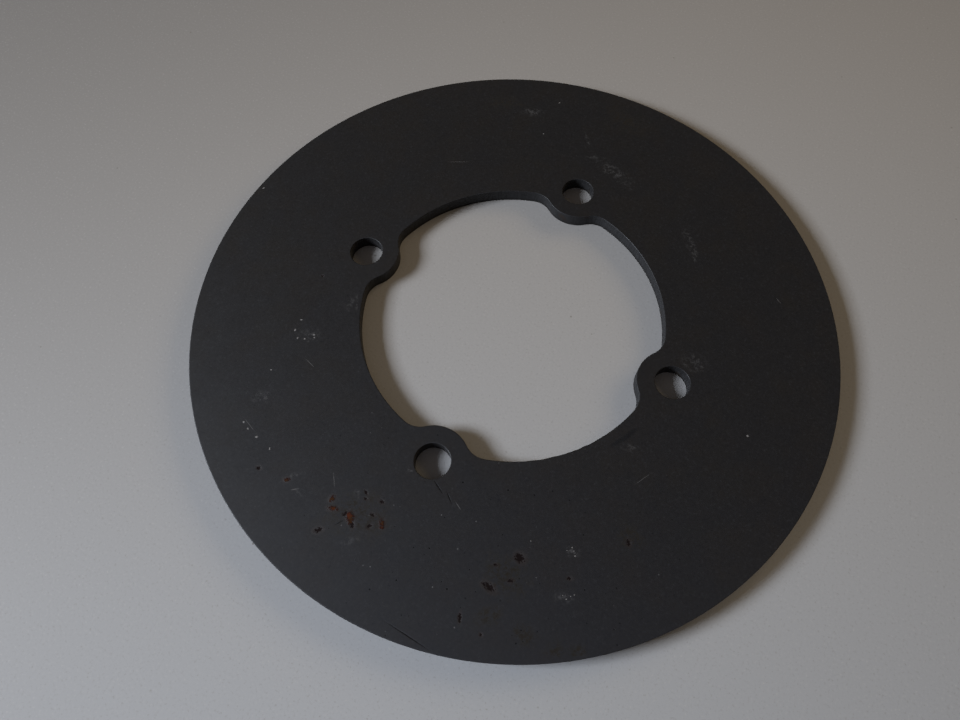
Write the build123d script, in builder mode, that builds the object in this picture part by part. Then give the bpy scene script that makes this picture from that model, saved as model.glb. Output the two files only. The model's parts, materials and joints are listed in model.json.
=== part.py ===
from build123d import *
import os

# Flat steel ring plate. Four round lobes reach into its central opening, each with a bolt hole.
# Units are mm. The origin is the centre of the underside, which the plate rests on, and +Z is up.
# The first bolt hole lies on +X.

# Driving dimensions
outer_diameter = 210.0
plate_thickness = 5.0
bore_diameter = 100.0
bolt_circle_diameter = 111.0
bolt_hole_diameter = 11.0
bolt_count = 4
lobe_radius = 11.25  # rounded end of a lobe, about its hole's centre
blend_radius = 7.25  # hollow corner between a lobe and the bore
edge_radius = 0.2  # every rim of the cut plate is very slightly rounded

# Worked out from the driving dimensions
outer_radius = outer_diameter / 2
bore_radius = bore_diameter / 2
bolt_circle_radius = bolt_circle_diameter / 2
corner_tolerance = 0.01


def meets_bore(corner):
    """True for a sketch corner where a lobe's rounded end runs into the bore."""
    on_bore = abs(Vector(corner.X, corner.Y).length - bore_radius) < corner_tolerance
    off_axes = min(abs(corner.X), abs(corner.Y)) > corner_tolerance
    return on_bore and off_axes


# Ring plate: one piece, cut from flat plate
with BuildPart() as ring_plate:
    # Profile: the round blank, less the bore, with the lobes left standing in the opening
    with BuildSketch(Plane.XY) as profile:
        Circle(outer_radius)
        Circle(bore_radius, mode=Mode.SUBTRACT)
        with PolarLocations(bolt_circle_radius, bolt_count):
            Circle(lobe_radius)
        fillet(profile.vertices().filter_by(meets_bore), radius=blend_radius)
    extrude(amount=plate_thickness)

    # Bolt holes, one through each lobe
    with PolarLocations(bolt_circle_radius, bolt_count):
        Hole(radius=bolt_hole_diameter / 2)

    # Rims of the two flat faces
    upper_face = ring_plate.faces().sort_by(Axis.Z)[-1]
    lower_face = ring_plate.faces().sort_by(Axis.Z)[0]
    fillet(upper_face.edges() + lower_face.edges(), radius=edge_radius)

ring_plate.part.label = "ring_plate"

os.makedirs("parts", exist_ok=True)
export_step(ring_plate.part, "parts/ring_plate.step")
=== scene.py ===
import bisect
import json
import math
import random

import bpy
import numpy as np
from mathutils import Matrix, Vector, geometry, kdtree, noise


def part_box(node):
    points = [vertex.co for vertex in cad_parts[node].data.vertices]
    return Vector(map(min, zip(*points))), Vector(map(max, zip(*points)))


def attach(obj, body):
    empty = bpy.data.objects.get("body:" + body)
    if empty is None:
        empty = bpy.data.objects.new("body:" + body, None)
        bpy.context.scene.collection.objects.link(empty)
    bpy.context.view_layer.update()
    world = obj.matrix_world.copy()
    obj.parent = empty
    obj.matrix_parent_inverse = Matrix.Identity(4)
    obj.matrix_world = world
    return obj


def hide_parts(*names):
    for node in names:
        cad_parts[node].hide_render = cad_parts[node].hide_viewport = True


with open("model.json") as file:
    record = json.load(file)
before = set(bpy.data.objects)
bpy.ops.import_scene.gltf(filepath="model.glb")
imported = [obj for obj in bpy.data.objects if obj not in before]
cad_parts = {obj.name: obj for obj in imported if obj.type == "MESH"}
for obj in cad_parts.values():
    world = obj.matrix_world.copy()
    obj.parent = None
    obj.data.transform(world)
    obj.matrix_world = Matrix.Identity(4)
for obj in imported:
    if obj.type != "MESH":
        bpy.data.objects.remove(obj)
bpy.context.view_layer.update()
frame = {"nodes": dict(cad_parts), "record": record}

# Metres, in the plate's own frame: origin at the centre of the underside, +Z up, a bolt hole on +X.
MM = 0.001

# ---------------------------------------------------------------- sizes, read from the frame
plate_low, plate_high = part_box("ring_plate")
thickness = plate_high.z - plate_low.z
outer_radius = (plate_high.x - plate_low.x) / 2
bolts = next(m for m in frame["record"]["mounts"] if m["name"] == "bolt_holes")["dims"]
bolt_circle_radius = bolts["pcd_mm"] / 2 * MM
hole_radius = bolts["hole_r_mm"] * MM
hole_count = bolts["count"]
quarter = 2 * math.pi / hole_count
hole_centres = [
    Matrix.Rotation(k * quarter, 2) @ Vector((bolt_circle_radius, 0)) for k in range(hole_count)
]


def opening_point(direction, spread=math.radians(5)):
    """The CAD plate's point nearest the axis, within spread of one direction."""
    points = [v.co.xy for v in frame["nodes"]["ring_plate"].data.vertices]
    near = [p for p in points if abs(math.atan2(p.y, p.x) - direction) < spread]
    return min(near, key=lambda p: p.length)


bore_radius = opening_point(quarter / 2).length
lobe_radius = (opening_point(0) - Vector((bolt_circle_radius, 0))).length
blend_radius = 7.25 * MM  # hollow corner between a lobe and the bore, as in the CAD plate

# ---------------------------------------------------------------- mesh fineness and cut edge
column_spacing = 0.36 * MM  # along every cut wall
upper_grid = 1.15 * MM  # between points of the upper face
lower_grid = 2.3 * MM
mark_grid = 0.36 * MM  # inside small marks, at most
row_pitch = 0.866  # rows of a triangular grid stand this many times its spacing apart
point_jitter = 0.18  # of the spacing, so that no grid shows
edge_gap = 0.45  # of the spacing, kept free along every edge
rim_turns = 3  # steps in which a rim turns from a flat face into the wall
wall_steps = 7
rim_round = 0.15 * MM
rim_land = 0.25 * MM  # narrow flat ring that keeps the rim's shading off the flat face
skin_depth = 0.06 * MM  # the mill scale lies this far under the top of its raised marks
drag_depth = 0.02 * MM  # lines that the cut leaves down the walls
wander_depth = 0.035 * MM  # slow unevenness of the cut
wavy_depth = 0.36 * MM  # the rougher quarter of the opening, where metal is left standing

# ---------------------------------------------------------------- marks on the upper face
# Each is (x, y, half length, half width, turn in degrees), in mm and in the plate's frame.
RUST_BRIGHT = [
    (-13.4, -80.8, 1.5, 1.1, -60), (-4.3, -78.2, 1.1, 0.75, -60), (-35.9, -79.6, 0.9, 0.6, 30),
    (-19.2, -80.7, 1.4, 0.7, 20), (-20.9, -78.5, 1.0, 0.8, 70), (-14.1, -79.9, 0.9, 0.6, 10),
    (-12.7, -81.8, 0.8, 0.7, 80), (-3.8, -79.2, 0.7, 0.5, 10),
]
RUST_DARK = [
    (-11.9, -82.2, 1.1, 0.7, -45), (-15.2, -80.4, 0.9, 0.5, 60), (-19.7, -87.8, 1.2, 0.7, 40),
    (-13.0, -72.4, 0.8, 0.4, -30), (-12.0, -74.1, 0.7, 0.4, 10), (-7.5, -72.8, 0.8, 0.5, 0),
    (-8.0, -77.2, 0.8, 0.4, 0), (-7.2, -80.6, 0.9, 0.5, 60), (35.1, -69.3, 1.5, 1.2, -30),
    (29.9, -74.0, 0.6, 0.4, 0), (35.5, -76.0, 0.8, 0.5, 40), (30.7, -80.1, 1.9, 0.9, -10),
    (49.8, -68.2, 0.7, 0.5, 20), (27.2, -90.7, 1.3, 0.45, 110), (34.2, -92.0, 0.5, 0.4, 0),
    (60.9, -51.9, 1.0, 0.6, -50), (-45.4, -80.3, 0.8, 0.6, 0), (-63.8, -15.1, 0.5, 0.4, 0),
]
STAINS = [
    (-12, -79, 11, 8, 20), (34.5, -86.5, 4.5, 3.0, 40), (44.7, -86.8, 4.5, 3.2, 10),
    (54.2, -87.2, 3.0, 3.6, 60), (59.0, -84.3, 3.0, 2.4, 0), (34, -75, 8, 7, 0),
    (-41.8, 82.6, 10, 4, 10), (61, -50, 5, 4, 0), (2, 94, 12, 5, -20),
]
SPECKS = [
    (-61.0, -36.6, 0.55, 0.5, 0), (-61.1, -32.5, 0.45, 0.3, 30), (-54.5, -35.4, 0.5, 0.35, 10),
    (-53.8, -36.2, 0.35, 0.3, 0), (-56.4, -38.0, 0.45, 0.35, 70), (-58.6, -38.7, 0.4, 0.35, 0),
    (-57.8, -70.3, 0.42, 0.38, 0), (-55.4, -71.6, 0.38, 0.36, 0), (-51.5, -72.5, 0.5, 0.42, 20),
    (-45.8, -73.9, 0.5, 0.3, -50), (-103.0, 7.2, 0.6, 0.35, 60), (-44.7, -1.5, 0.35, 0.3, 0),
    (81.6, -6.6, 0.5, 0.4, 0), (-23.0, 91.6, 0.5, 0.3, 40), (-22.2, 74.7, 0.35, 0.3, 0),
    (48.8, -62.0, 0.26, 0.2, 0), (36.0, -63.7, 0.22, 0.2, 0), (47.2, -60.2, 0.2, 0.3, 20),
    (48.0, -60.9, 0.2, 0.16, 0), (46.2, -61.6, 0.18, 0.16, 0), (51.9, -72.4, 0.2, 0.16, 0),
    (52.7, -71.6, 0.2, 0.26, 0), (51.1, -73.6, 0.28, 0.18, 30), (49.9, -73.1, 0.18, 0.16, 0),
    (-60.0, -52.0, 0.3, 0.25, 0),
]
SCRATCHES = [
    (-23.3, -73.5, 2.9, 0.13, -54), (-55.8, -70.2, 3.6, 0.12, -22), (-45.0, 48.7, 5.2, 0.12, 26),
    (-50.2, -44.5, 3.0, 0.12, -18), (77.0, 43.0, 1.6, 0.15, -35), (13.0, -64.0, 2.2, 0.14, -30),
    (-32.2, -80.9, 1.6, 0.22, 35), (58.0, -33.0, 4.0, 0.10, 60),
]
DARK_SCRATCHES = [
    (16.8, -101.0, 9.0, 0.22, -4), (5.2, -61.6, 3.6, 0.28, -30), (9.6, -63.0, 2.6, 0.22, -40),
    (-15.3, -83.2, 2.0, 0.2, 55),
]
SCUFFS = [
    (-6.0, 79.0, 6.0, 0.9, -50), (9.0, 69.0, 10.0, 3.4, -20), (-2.0, 72.0, 5.0, 0.8, 20),
    (45.4, 50.0, 5.5, 1.4, -62), (42.0, 54.0, 4.0, 1.8, -50), (59.5, 9.5, 4.0, 4.0, 20),
    (55.0, 3.5, 3.0, 2.0, 0), (51.0, -25.5, 3.0, 1.5, 30), (-48.2, -18.2, 5.0, 3.2, 60),
    (-55.5, -36.0, 4.5, 3.0, 0), (-30.6, -81.6, 2.2, 0.9, -10), (-14.8, -73.8, 2.2, 1.5, -50),
    (-10.0, -86.6, 3.0, 1.5, 40), (-34.4, -77.2, 3.2, 1.2, 50), (-4.0, -60.6, 2.6, 1.4, 20),
    (47.4, -61.4, 2.8, 1.6, 20), (50.6, -73.3, 3.6, 1.8, 15), (46.6, 47.6, 3.2, 0.9, -70),
    (43.4, 51.6, 2.4, 1.9, -20), (-30.0, 83.0, 5.0, 2.5, 30), (-57.0, -60.8, 4.5, 2.4, 20),
]
BORE_STREAKS = [(49.4, -22.3, 5.0, 1.0, 64), (47.4, -25.4, 4.0, 0.8, 60)]
MARKS = {
    "rust_bright": RUST_BRIGHT, "rust_dark": RUST_DARK, "stain": STAINS, "speck": SPECKS,
    "scratch": SCRATCHES, "gouge": DARK_SCRATCHES, "scuff": SCUFFS, "streak": BORE_STREAKS,
}
SMALL_MARKS = RUST_BRIGHT + RUST_DARK + SPECKS + SCRATCHES + DARK_SCRATCHES + BORE_STREAKS
mark_reach = 2.5  # a mark's influence ends this many times its own size from its middle


# ---------------------------------------------------------------- outlines of the plate
def arc(centre, radius, start, end, metal_inside):
    """Points of an arc without its last one, each with the direction out of the metal."""
    steps = max(2, math.ceil(abs(end - start) * radius / column_spacing))
    side = 1 if metal_inside else -1
    points = []
    for i in range(steps):
        angle = start + (end - start) * i / steps
        direction = Vector((math.cos(angle), math.sin(angle)))
        points.append((centre + direction * radius, direction * side))
    return points


def opening_outline():
    """The opening's edge: for each lobe a hollow corner, the lobe's end, a hollow corner, the bore."""
    reach = bore_radius - blend_radius
    span = lobe_radius + blend_radius
    turn = math.acos(
        (reach**2 + bolt_circle_radius**2 - span**2) / (2 * reach * bolt_circle_radius)
    )
    lean = math.atan2(reach * math.sin(turn), bolt_circle_radius - reach * math.cos(turn))
    points = []
    for k, lobe in enumerate(hole_centres):
        at = k * quarter
        before = Matrix.Rotation(at - turn, 2) @ Vector((reach, 0))
        after = Matrix.Rotation(at + turn, 2) @ Vector((reach, 0))
        points += arc(before, blend_radius, at - turn, at + lean, False)
        points += arc(lobe, lobe_radius, at + lean + math.pi, at - lean + math.pi, True)
        points += arc(after, blend_radius, at - lean, at + turn, False)
        points += arc(Vector((0, 0)), bore_radius, at + turn, at + quarter - turn, False)
    return points


def all_outlines():
    full = 2 * math.pi
    outlines = [arc(Vector((0, 0)), outer_radius, 0, full, True), opening_outline()]
    for centre in hole_centres:
        outlines.append(arc(centre, hole_radius, 0, full, False))
    return outlines


def cut_wander(point, outline_index):
    """How far the cut strays into the metal here, the same at every height."""
    depth = wander_depth * (0.5 + 0.5 * noise.noise(Vector((point.x, point.y, 0)) / (7 * MM)))
    angle = math.atan2(point.y, point.x)
    if outline_index == 1 and -quarter * 0.8 < angle < -quarter * 0.2:
        swell = math.sin((angle / quarter + 0.8) / 0.6 * math.pi) ** 2
        ripple = noise.noise(Vector((point.x, point.y, 9 * MM)) / (3.2 * MM))
        return depth - wavy_depth * swell * (0.6 + ripple)
    return depth


def drag_line(point, height):
    """Depth of the fine lines that the cut leaves, which trail a little towards the underside."""
    trail = 0.5 * MM * (1 - height / thickness) ** 2
    at = Vector((point.x + trail, point.y - trail, height / 7))
    coarse = 0.5 + 0.5 * noise.noise(at / (0.9 * MM))
    fade = min(1.0, (1 - height / thickness) * 1.6 + 0.25)
    return drag_depth * coarse * fade


def wall_rows():
    """(inset, height) down a wall, from the upper face's edge to the lower face's edge."""
    rows = [(rim_round + rim_land, thickness - skin_depth)]
    crown = thickness - skin_depth
    for step in range(rim_turns + 1):
        a = math.radians(90 / rim_turns * step)
        rows.append((rim_round * (1 - math.sin(a)), crown - rim_round * (1 - math.cos(a))))
    wall_top = crown - rim_round
    for step in range(1, wall_steps):
        rows.append((0.0, wall_top + (rim_round - wall_top) * step / wall_steps))
    for step in range(rim_turns, -1, -1):
        a = math.radians(90 / rim_turns * step)
        rows.append((rim_round * (1 - math.sin(a)), rim_round * (1 - math.cos(a))))
    rows.append((rim_round + rim_land, 0.0))
    return rows


# ---------------------------------------------------------------- flat faces
def closeness(points, marks):
    """For each point, mark_reach at a mark's middle, mark_reach - 1 at its edge, 0 far away."""
    best = np.zeros(len(points))
    for cx, cy, long, wide, turn in marks:
        a = math.radians(turn)
        x, y = points[:, 0] / MM - cx, points[:, 1] / MM - cy
        u = (x * math.cos(a) + y * math.sin(a)) / long
        v = (y * math.cos(a) - x * math.sin(a)) / wide
        best = np.maximum(best, mark_reach - np.hypot(u, v))
    return best


def surface_height(near):
    """Height of the upper face above the mill scale: rust stands proud, dark spots are pits."""
    edge = mark_reach - 1
    crust = np.clip(2 * (near["rust_bright"] - edge + 0.2), 0, 1) * 0.9
    pitted = np.clip(2 * (near["rust_dark"] - edge + 0.1), 0, 1) * 1.5
    scored = np.clip(near["gouge"] - edge, 0, 1) * 0.8
    return np.minimum(crust - pitted - scored, 0.95) * skin_depth


def mark_lattice(mark):
    """Points over one small mark, close enough together to draw it, each with its spacing."""
    cx, cy, long, wide, turn = mark
    step_u, step_v = min(mark_grid, long * MM / 2), min(mark_grid, wide * MM / 1.5)
    count_u, count_v = math.ceil(1.4 * long * MM / step_u), math.ceil(1.6 * wide * MM / step_v)
    turned = Matrix.Rotation(math.radians(turn), 2)
    for i in range(-count_u, count_u + 1):
        for j in range(-count_v, count_v + 1):
            place = Vector((cx, cy)) * MM + turned @ Vector((i * step_u, j * step_v))
            yield place.x, place.y, step_v


def inside_test(loop, centre):
    """A test for points inside one closed loop, all of which can be seen from its centre."""
    around = sorted((p - centre for p in loop), key=lambda p: math.atan2(p.y, p.x))
    angles = [math.atan2(p.y, p.x) for p in around]

    def inside(point):
        ray = point - centre
        after = bisect.bisect(angles, math.atan2(ray.y, ray.x))
        start, end = around[after - 1], around[after % len(around)]
        return (end - start).cross(ray - start) > 0

    return inside


def metal_test(loops):
    """A test for points on the metal: within the rim, outside the opening and the holes."""
    middle = Vector((0, 0))
    in_rim = inside_test(loops[0], middle)
    gaps = [inside_test(loop, at) for loop, at in zip(loops[1:], [middle] + hole_centres)]
    return lambda point: in_rim(point) and not any(in_gap(point) for in_gap in gaps)


def scatter(grid, loops, on_metal, marks, rng):
    """Grid points on the metal, clear of its edges, with more of them inside the marks."""
    tree = kdtree.KDTree(sum(len(loop) for loop in loops))
    for number, point in enumerate(p for loop in loops for p in loop):
        tree.insert((point.x, point.y, 0), number)
    tree.balance()
    places = []
    rows = int(outer_radius / (grid * row_pitch)) + 1
    for row in range(-rows, rows + 1):
        for column in range(-rows - 1, rows + 2):
            places.append(((column + 0.5 * (row % 2)) * grid, row * grid * row_pitch, grid))
    for mark in marks:
        places += mark_lattice(mark)
    kept = []
    for x, y, step in places:
        x += rng.uniform(-point_jitter, point_jitter) * step
        y += rng.uniform(-point_jitter, point_jitter) * step
        if on_metal(Vector((x, y))) and tree.find((x, y, 0))[2] > edge_gap * step:
            kept.append(Vector((x, y)))
    return kept


def make_face(loops, grid, marks, seed):
    """(points, triangles) of a flat face, with the loops' points first, in order."""
    on_metal = metal_test(loops)
    points = [p for loop in loops for p in loop]
    edges, first = [], 0
    for loop in loops:
        count = len(loop)
        edges += [(first + i, first + (i + 1) % count) for i in range(count)]
        first += count
    points += scatter(grid, loops, on_metal, marks, random.Random(seed))
    made, _, faces, origins, _, _ = geometry.delaunay_2d_cdt(points, edges, [], 0, 1e-9)
    number = [o[0] for o in origins]
    triangles = []
    for face in faces:
        middle = sum((made[i] for i in face), Vector((0, 0))) / len(face)
        if on_metal(middle):
            triangles.append([number[i] for i in face])
    return points, triangles


# ---------------------------------------------------------------- places on the baked map
map_upper_radius, map_lower_radius = 0.365, 0.2
map_edge = 0.005
map_scale = map_upper_radius / outer_radius


def upper_uv(p):
    middle = map_edge + map_upper_radius
    return (middle + p.x * map_scale, middle + p.y * map_scale)


def lower_uv(p):
    scale = map_lower_radius / outer_radius
    middle = 1 - map_edge - map_lower_radius
    return (middle - p.x * scale, middle + p.y * scale)


class WallStrips:
    """Lays the walls out as short strips, one above another, in the map's free corner."""

    left, bottom, width, pitch = 0.008, 0.752, 0.56, 0.0268

    def __init__(self):
        self.row = 0
        self.used = 0.0

    def place(self, columns):
        """One (left, bottom) per wall column, and the columns where a new strip starts."""
        step = column_spacing * map_scale
        spots = []
        for _ in range(columns):
            if self.used + 2 * step > self.width:
                self.row += 1
                self.used = 0.0
            spots.append((self.left + self.used, self.bottom + self.row * self.pitch))
            self.used += step
        self.used += 6 * step
        return spots


# ---------------------------------------------------------------- the plate's mesh
def make_plate():
    outlines = all_outlines()
    rows = wall_rows()
    coords, faces, uvs, walls = [], [], [], []
    near_marks = {name: [] for name in MARKS}
    for index, outline in enumerate(outlines):
        columns = []
        for point, out in outline:
            stray = cut_wander(point, index)
            column = []
            for inset, height in rows:
                on_wall = 1.0 if inset < rim_round else 0.0
                depth = inset + stray + on_wall * drag_line(point, height)
                place = point - out * depth
                column.append(len(coords))
                coords.append((place.x, place.y, height))
            columns.append(column)
        walls.append(columns)

    def add_face(grid, marks, seed, row, upper):
        loops = [[Vector(coords[c[row]][:2]) for c in columns] for columns in walls]
        shared = [c[row] for columns in walls for c in columns]
        points, triangles = make_face(loops, grid, marks, seed)
        base = len(coords) - len(shared)
        added = np.array([p[:] for p in points[len(shared):]])
        near = {name: closeness(added, MARKS[name]) * upper for name in MARKS}
        heights = rows[row][1] + surface_height(near)
        coords.extend((x, y, z) for (x, y), z in zip(added.tolist(), heights.tolist()))
        for name in MARKS:
            near_marks[name].extend(near[name].tolist())
        to_uv = upper_uv if upper else lower_uv
        for triangle in triangles:
            turned = triangle if upper else triangle[::-1]
            faces.append([shared[i] if i < len(shared) else base + i for i in turned])
            uvs.extend(to_uv(points[i]) for i in turned)

    wall_points = len(coords)
    add_face(upper_grid, SMALL_MARKS, 11, 0, True)
    add_face(lower_grid, [], 12, len(rows) - 1, False)

    strips = WallStrips()
    drop = [0.0]
    for (inset_a, height_a), (inset_b, height_b) in zip(rows, rows[1:]):
        drop.append(drop[-1] + math.hypot(inset_a - inset_b, height_a - height_b) * map_scale)
    for index, columns in enumerate(walls):
        spots = strips.place(len(columns))
        step = column_spacing * map_scale
        for i, column in enumerate(columns):
            following = columns[(i + 1) % len(columns)]
            left, bottom = spots[i]
            for r in range(len(rows) - 1):
                corners = [column[r], column[r + 1], following[r + 1], following[r]]
                places = [(left, bottom + drop[r]), (left, bottom + drop[r + 1])]
                places += [(left + step, bottom + drop[r + 1]), (left + step, bottom + drop[r])]
                if index != 0:
                    corners, places = corners[::-1], places[::-1]
                faces.append(corners)
                uvs.extend(places)

    mesh = bpy.data.meshes.new("ring_plate_steel")
    mesh.from_pydata(coords, [], faces)
    layer = mesh.uv_layers.new(name="OFBake")
    layer.data.foreach_set("uv", [value for uv in uvs for value in uv])
    for name, values in near_marks.items():
        attribute = mesh.attributes.new(name, "FLOAT", "POINT")
        attribute.data.foreach_set("value", [0.0] * wall_points + values)
    mesh.polygons.foreach_set("use_smooth", [True] * len(mesh.polygons))
    mesh.validate()
    mesh.update()
    plate = bpy.data.objects.new("ring_plate_steel", mesh)
    bpy.context.scene.collection.objects.link(plate)
    return plate


# ---------------------------------------------------------------- shader nodes
class Paint:
    """Short calls for the shader nodes of one material."""

    def __init__(self, name):
        self.material = bpy.data.materials.new(name)
        self.material.use_nodes = True
        self.tree = self.material.node_tree
        self.shader = self.tree.nodes["Principled BSDF"]

    def add(self, kind, inputs, **settings):
        made = self.tree.nodes.new("ShaderNode" + kind)
        for name, value in settings.items():
            setattr(made, name, value)
        for key, value in inputs.items():
            self.feed(made.inputs[key], value)
        return made.outputs

    def feed(self, socket, value):
        if isinstance(value, bpy.types.NodeSocket):
            self.tree.links.new(value, socket)
        else:
            socket.default_value = value

    def math(self, operation, a, b=0.0):
        return self.add("Math", {0: a, 1: b}, operation=operation)[0]

    def between(self, value, low, high):
        """0 below low, 1 above high, smooth between; low may be the larger one."""
        inputs = {"Value": value, "From Min": low, "From Max": high}
        return self.add("MapRange", inputs, interpolation_type="SMOOTHSTEP")[0]

    def mix(self, amount, a, b):
        return self.add("Mix", {0: amount, 6: a, 7: b}, data_type="RGBA")[2]

    def noise(self, coords, size, detail=2.0, roughness=0.5):
        inputs = {"Vector": coords, "Scale": 1 / size, "Detail": detail, "Roughness": roughness}
        return self.add("TexNoise", inputs)

    def stretched(self, coords, scale):
        return self.add("Mapping", {"Vector": coords, "Scale": scale})[0]

    def near(self, name, ragged, amount):
        """Distance to the nearest mark of one sort, 1 at its edge, made ragged by a noise."""
        close = self.add("Attribute", {}, attribute_name=name)["Fac"]
        distance = self.math("SUBTRACT", mark_reach, close)
        uneven = self.math("MULTIPLY", self.math("SUBTRACT", ragged, 0.5), amount)
        return self.math("ADD", distance, uneven)


def grey(value):
    return (value, value, value, 1.0)


def steel_material():
    """Dark blue-grey mill scale with rust, stains, scuffs and pits, and oxide-grey cut walls."""
    p = Paint("mill_scale_steel")
    coords = p.add("TexCoord", {})["Object"]
    normal = p.add("SeparateXYZ", {0: p.add("NewGeometry", {})["Normal"]})[2]
    facing = p.math("ABSOLUTE", normal)
    on_wall = p.between(facing, 0.75, 0.35)

    # Mill scale: broad cool and warm areas, small mottling and fine grain
    broad = p.between(p.noise(coords, 17 * MM, 4.0, 0.62)["Fac"], 0.38, 0.62)
    patches = p.between(p.noise(coords, 7 * MM, 3.0, 0.6)["Fac"], 0.35, 0.65)
    grain = p.noise(coords, 0.75 * MM, 3.0, 0.75)["Fac"]
    scale_colour = p.mix(broad, (0.0165, 0.0156, 0.0156, 1), (0.0186, 0.0163, 0.0143, 1))
    scale_colour = p.mix(p.math("MULTIPLY", patches, 0.55), scale_colour, (0.0120, 0.0112, 0.0112, 1))
    light_grain = p.math("MULTIPLY", p.between(grain, 0.52, 0.78), 0.75)
    scale_colour = p.mix(light_grain, scale_colour, (0.034, 0.035, 0.038, 1))
    dark_grain = p.math("MULTIPLY", p.between(grain, 0.47, 0.26), 0.75)
    scale_colour = p.mix(dark_grain, scale_colour, (0.006, 0.006, 0.007, 1))

    # Tiny black pits, thicker towards one side of the face
    cells = p.add("TexVoronoi", {"Vector": coords, "Scale": 1 / (1.9 * MM), "Randomness": 1.0})
    chance, size, _ = p.add("SeparateColor", {0: cells["Color"]})
    chosen = p.between(chance, 0.42, 0.60)
    pit_edge = p.add("MapRange", {"Value": size, "To Min": 0.05, "To Max": 0.19})[0]
    side = p.add(
        "Mapping",
        {"Vector": coords, "Location": (30 * MM, -70 * MM, 0), "Scale": (0.08, 0.06, 1)},
        vector_type="TEXTURE",
    )[0]
    crowd = p.between(p.add("VectorMath", {0: side}, operation="LENGTH")["Value"], 1.0, 0.3)
    crowd = p.math("ADD", p.math("MULTIPLY", crowd, 0.85), 0.12)
    within = p.between(p.math("DIVIDE", cells["Distance"], pit_edge), 1.0, 0.5)
    clumps = p.between(p.noise(coords, 6 * MM, 2.0)["Fac"], 0.42, 0.58)
    likely = p.math("MULTIPLY", chosen, crowd)
    pits = p.math("MULTIPLY", p.math("MULTIPLY", within, clumps), likely)

    # Tiny light flecks, where the scale has chipped
    chips = p.add("TexVoronoi", {"Vector": coords, "Scale": 1 / (3.1 * MM), "Randomness": 1.0})
    picked = p.between(p.add("SeparateColor", {0: chips["Color"]})[1], 0.50, 0.90)
    fleck_spots = p.between(chips["Distance"], 0.085, 0.045)
    flecks = p.math("MULTIPLY", fleck_spots, p.math("MULTIPLY", picked, crowd))

    # Marks at fixed places of the upper face, with ragged edges
    breakup = p.noise(coords, 1.1 * MM, 4.0, 0.7)["Fac"]
    ragged = p.noise(coords, 0.55 * MM, 3.0, 0.6)["Fac"]
    cloudy = p.noise(coords, 3.5 * MM, 3.0, 0.6)["Fac"]

    def marks(name, noise_value, amount, low, high, strength=1.0):
        mask = p.between(p.near(name, noise_value, amount), low, high)
        return p.math("MULTIPLY", mask, strength) if strength < 1 else mask

    stains = marks("stain", cloudy, 1.6, 1.15, 0.2, 0.9)
    stains = p.math("MULTIPLY", stains, p.between(breakup, 0.40, 0.62))
    scuffs = marks("scuff", cloudy, 1.2, 1.2, 0.1, 0.9)
    scuffs = p.math("MULTIPLY", scuffs, p.between(breakup, 0.46, 0.66))
    specks = marks("speck", ragged, 1.8, 0.95, 0.45)
    scratches = marks("scratch", ragged, 1.0, 1.0, 0.4, 0.75)
    gouges = marks("gouge", ragged, 1.0, 1.0, 0.3, 0.8)
    streaks = marks("streak", ragged, 1.0, 1.1, 0.3, 0.75)
    rust = marks("rust_bright", ragged, 3.2, 1.05, 0.80)
    rust_core = marks("rust_bright", breakup, 3.0, 0.62, 0.25)
    dark_rust = marks("rust_dark", ragged, 3.4, 1.0, 0.75)
    bright_halo = marks("rust_bright", cloudy, 1.4, 2.2, 1.0)
    dark_halo = marks("rust_dark", cloudy, 1.4, 2.1, 1.0)
    halo = p.math("MULTIPLY", p.math("MAXIMUM", bright_halo, dark_halo), 0.60)

    colour = p.mix(stains, scale_colour, (0.0205, 0.0152, 0.0080, 1))
    colour = p.mix(scuffs, colour, (0.095, 0.097, 0.102, 1))
    colour = p.mix(flecks, colour, (0.130, 0.133, 0.140, 1))
    for dark_mark in (pits, gouges, streaks):
        colour = p.mix(dark_mark, colour, grey(0.004))
    colour = p.mix(scratches, colour, (0.15, 0.15, 0.155, 1))
    colour = p.mix(halo, colour, (0.024, 0.0145, 0.0105, 1))
    colour = p.mix(dark_rust, colour, (0.0110, 0.0062, 0.0056, 1))
    colour = p.mix(rust, colour, (0.036, 0.0125, 0.0085, 1))
    tone = p.between(p.noise(coords, 4.5 * MM, 1.0)["Fac"], 0.44, 0.56)
    core_colour = p.mix(tone, (0.098, 0.0245, 0.0070, 1), (0.060, 0.0270, 0.0080, 1))
    colour = p.mix(rust_core, colour, core_colour)
    colour = p.mix(specks, colour, (0.33, 0.33, 0.34, 1))

    # Cut walls: thin grey oxide with lines down the cut, darker and browner towards the underside
    height = p.add("SeparateXYZ", {0: coords})[2]
    lines = p.noise(p.stretched(coords, (1, 1, 0.12)), 0.45 * MM, 3.0, 0.6)["Fac"]
    low_wall = p.between(height, 1.9 * MM, 0.2 * MM)
    line_tone = p.between(lines, 0.35, 0.68)
    wall_colour = p.mix(line_tone, (0.026, 0.0265, 0.0285, 1), (0.038, 0.039, 0.043, 1))
    wall_colour = p.mix(p.math("MULTIPLY", low_wall, 0.7), wall_colour, (0.014, 0.0125, 0.0110, 1))
    blotch = p.between(p.noise(coords, 4.5 * MM, 3.0)["Fac"], 0.60, 0.74)
    wall_colour = p.mix(p.math("MULTIPLY", blotch, 0.5), wall_colour, (0.040, 0.026, 0.017, 1))
    colour = p.mix(on_wall, colour, wall_colour)

    # Rims: lighter, in noisy patches, where the face turns into the wall
    rim = p.math("MULTIPLY", p.between(facing, 0.995, 0.90), p.between(facing, 0.30, 0.65))
    rim_lightening = p.math("MULTIPLY", rim, p.between(p.noise(coords, 2.2 * MM, 3.0)["Fac"], 0.42, 0.66))
    colour = p.mix(p.math("MULTIPLY", rim_lightening, 0.30), colour, (0.045, 0.047, 0.052, 1))
    p.feed(p.shader.inputs["Base Color"], colour)

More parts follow.
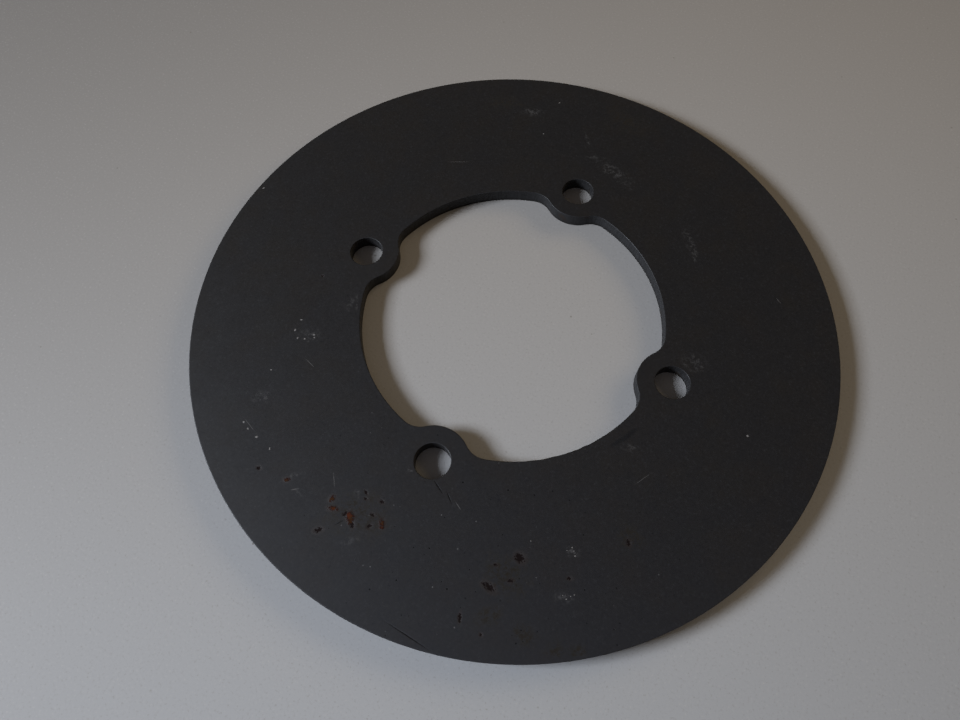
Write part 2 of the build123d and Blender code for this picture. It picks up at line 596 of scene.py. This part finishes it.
    # Gloss: satin scale, dull rust and stains, slightly brighter scuffs
    gloss = p.add("MapRange", {"Value": patches, "To Min": 0.43, "To Max": 0.47})[0]
    gloss = p.math("ADD", gloss, p.math("MULTIPLY", grain, 0.08))
    dull = p.math("MAXIMUM", p.math("MAXIMUM", rust, dark_rust), p.math("MAXIMUM", stains, halo))
    gloss = p.math("ADD", gloss, p.math("MULTIPLY", dull, 0.30))
    gloss = p.math("SUBTRACT", gloss, p.math("MULTIPLY", p.math("MAXIMUM", rim_lightening, scuffs), 0.10))
    p.feed(p.shader.inputs["Roughness"], gloss)
    spots = p.math("MAXIMUM", p.math("MAXIMUM", rust, dark_rust), p.math("MAXIMUM", pits, gouges))
    matte = p.math("MAXIMUM", p.math("MAXIMUM", on_wall, spots), p.math("MULTIPLY", stains, 0.6))
    specular = p.add("MapRange", {"Value": matte, "To Min": 0.5, "To Max": 0.1})[0]
    p.feed(p.shader.inputs["Specular IOR Level"], specular)
    p.shader.inputs["IOR"].default_value = 1.7
    p.shader.inputs["Specular Tint"].default_value = (0.88, 0.93, 1.0, 1)

    # Relief: grain, mottling, rust crust, pits and the cut's lines
    relief = p.math("ADD", p.math("MULTIPLY", grain, 0.30), p.math("MULTIPLY", patches, 0.18))
    relief = p.math("ADD", relief, p.math("MULTIPLY", p.math("MULTIPLY", rust, breakup), 1.6))
    relief = p.math("SUBTRACT", relief, p.math("MULTIPLY", p.math("ADD", pits, gouges), 0.8))
    wall_relief = p.math("MULTIPLY", lines, 0.8)
    relief = p.add("Mix", {0: on_wall, 2: relief, 3: wall_relief}, data_type="FLOAT")[0]
    bump = p.add("Bump", {"Strength": 0.55, "Distance": 0.05 * MM, "Height": relief})[0]
    p.feed(p.shader.inputs["Normal"], bump)
    return p.material


def table_material():
    """Pale fine-grained laminate with sparse dark specks, with painted light in its colour: a broad
    painted pool of light, painted shade away from it and a painted tint from cool to warm across it.
    """
    p = Paint("pale_table")
    coords = p.add("TexCoord", {})["Object"]
    turned = {"Vector": coords, "Rotation": (0, 0, view_turn)}
    toned = p.add("Mapping", turned, vector_type="TEXTURE")[0]
    pool_place = {
        "Vector": toned,
        "Location": painted_light_pool_middle,
        "Rotation": (0, 0, painted_light_pool_turn),
        "Scale": painted_light_pool_reach,
    }
    pool = p.add("Mapping", pool_place, vector_type="TEXTURE")[0]
    reach = p.add("VectorMath", {0: pool}, operation="LENGTH")["Value"]
    # painted light: a bright pool on the table, fading to painted shade (the dark colour below) away
    # from it
    painted_light_amount = p.math("EXPONENT", p.math("MULTIPLY", p.math("MULTIPLY", reach, reach), -1.0))
    # painted light tint: bluish on the near side (-Y of the turned frame), warm on the far side (+Y)
    far = p.between(p.add("SeparateXYZ", {0: toned})[1], -260 * MM, 260 * MM)
    bright = p.mix(far, (0.605, 0.655, 0.725, 1), (0.680, 0.650, 0.610, 1))
    colour = p.mix(painted_light_amount, (0.245, 0.240, 0.238, 1), bright)

    grain = p.noise(coords, 0.8 * MM, 2.0, 0.7)["Fac"]
    colour = p.mix(p.between(grain, 0.46, 0.05), colour, (0.36, 0.355, 0.35, 1))
    pale_grain = p.math("MULTIPLY", p.between(grain, 0.54, 0.90), 0.55)
    colour = p.mix(pale_grain, colour, grey(0.80))
    cells = p.add("TexVoronoi", {"Vector": coords, "Scale": 1 / (9 * MM), "Randomness": 1.0})
    chosen = p.between(p.add("SeparateColor", {0: cells["Color"]})[0], 0.60, 0.95)
    specks = p.math("MULTIPLY", p.between(cells["Distance"], 0.050, 0.025), chosen)
    colour = p.mix(p.math("MULTIPLY", specks, 0.6), colour, (0.20, 0.18, 0.15, 1))
    p.feed(p.shader.inputs["Base Color"], colour)
    p.shader.inputs["Roughness"].default_value = 0.62
    return p.material


# ---------------------------------------------------------------- stage, light and camera
view_turn = math.radians(27.74)  # the camera stands this far round the axis from -Y
view_tilt = math.radians(24.49)  # away from straight down
view_roll = math.radians(-1.44)
view_distance = 0.2110
view_aim = Vector((-0.0109, -0.0165, thickness))  # on the upper face, before view_turn

# The table's painted pool of light and the painted shade around it are painted on it and lie still;
# their place is before view_turn
painted_light_pool_middle = (-44 * MM, -170 * MM, 0)
painted_light_pool_reach = (438 * MM, 264 * MM, 1)
painted_light_pool_turn = math.radians(50)
table_half = 6.0  # metres from the table's middle to its edge


def add_camera():
    data = bpy.data.cameras.new("camera")
    data.sensor_width = 36.0
    data.lens = 24.85
    camera = bpy.data.objects.new("camera", data)
    turn = Matrix.Rotation(view_turn, 4, "Z")
    lean = Matrix.Rotation(view_tilt, 4, "X") @ Matrix.Rotation(view_roll, 4, "Z")
    back = Matrix.Translation((0, 0, view_distance))
    camera.matrix_world = turn @ Matrix.Translation(view_aim) @ lean @ back
    bpy.context.scene.collection.objects.link(camera)
    bpy.context.scene.camera = camera


def add_softbox(name, bearing, rise, distance, size, power, colour):
    """A rectangular soft light; bearing is counted anticlockwise from the camera's right."""
    data = bpy.data.lights.new(name, "AREA")
    data.shape = "RECTANGLE"
    data.size, data.size_y = size
    data.energy = power
    data.color = colour
    lamp = bpy.data.objects.new(name, data)
    a, e = math.radians(bearing) + view_turn, math.radians(rise)
    out = Vector((math.cos(a) * math.cos(e), math.sin(a) * math.cos(e), math.sin(e)))
    lamp.location = out * distance
    lamp.rotation_euler = out.to_track_quat("Z", "Y").to_euler()
    bpy.context.scene.collection.objects.link(lamp)
    return lamp


def add_floor():
    half = table_half
    mesh = bpy.data.meshes.new("table")
    corners = [(-half, -half, 0), (half, -half, 0), (half, half, 0), (-half, half, 0)]
    mesh.from_pydata(corners, [], [(0, 1, 2, 3)])
    floor = bpy.data.objects.new("table", mesh)
    floor.location.z = plate_low.z
    mesh.materials.append(table_material())
    bpy.context.scene.collection.objects.link(floor)


def add_surroundings():
    world = bpy.data.worlds.new("room")
    world.use_nodes = True
    background = world.node_tree.nodes["Background"]
    background.inputs["Color"].default_value = (0.060, 0.049, 0.040, 1)
    background.inputs["Strength"].default_value = 1.0
    bpy.context.scene.world = world
    bpy.context.scene.view_settings.view_transform = "Standard"


plate = make_plate()
plate.data.materials.append(steel_material())
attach(plate, "root")
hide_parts("ring_plate")

add_floor()
add_surroundings()
add_softbox("window", 187, 29, 1.6, (0.58, 0.40), 20.6, (0.907, 0.942, 1.0))
room = add_softbox("room", 30, 24, 1.8, (1.3, 0.6), 7.8, (1.0, 0.75, 0.44))
room.visible_glossy = False  # it only fills the shadows
sky = add_softbox("sky", 245, 68, 1.8, (1.7, 1.3), 2.8, (0.57, 0.68, 1.0))
sky.visible_diffuse = False  # it only shows as a cool sheen
add_camera()
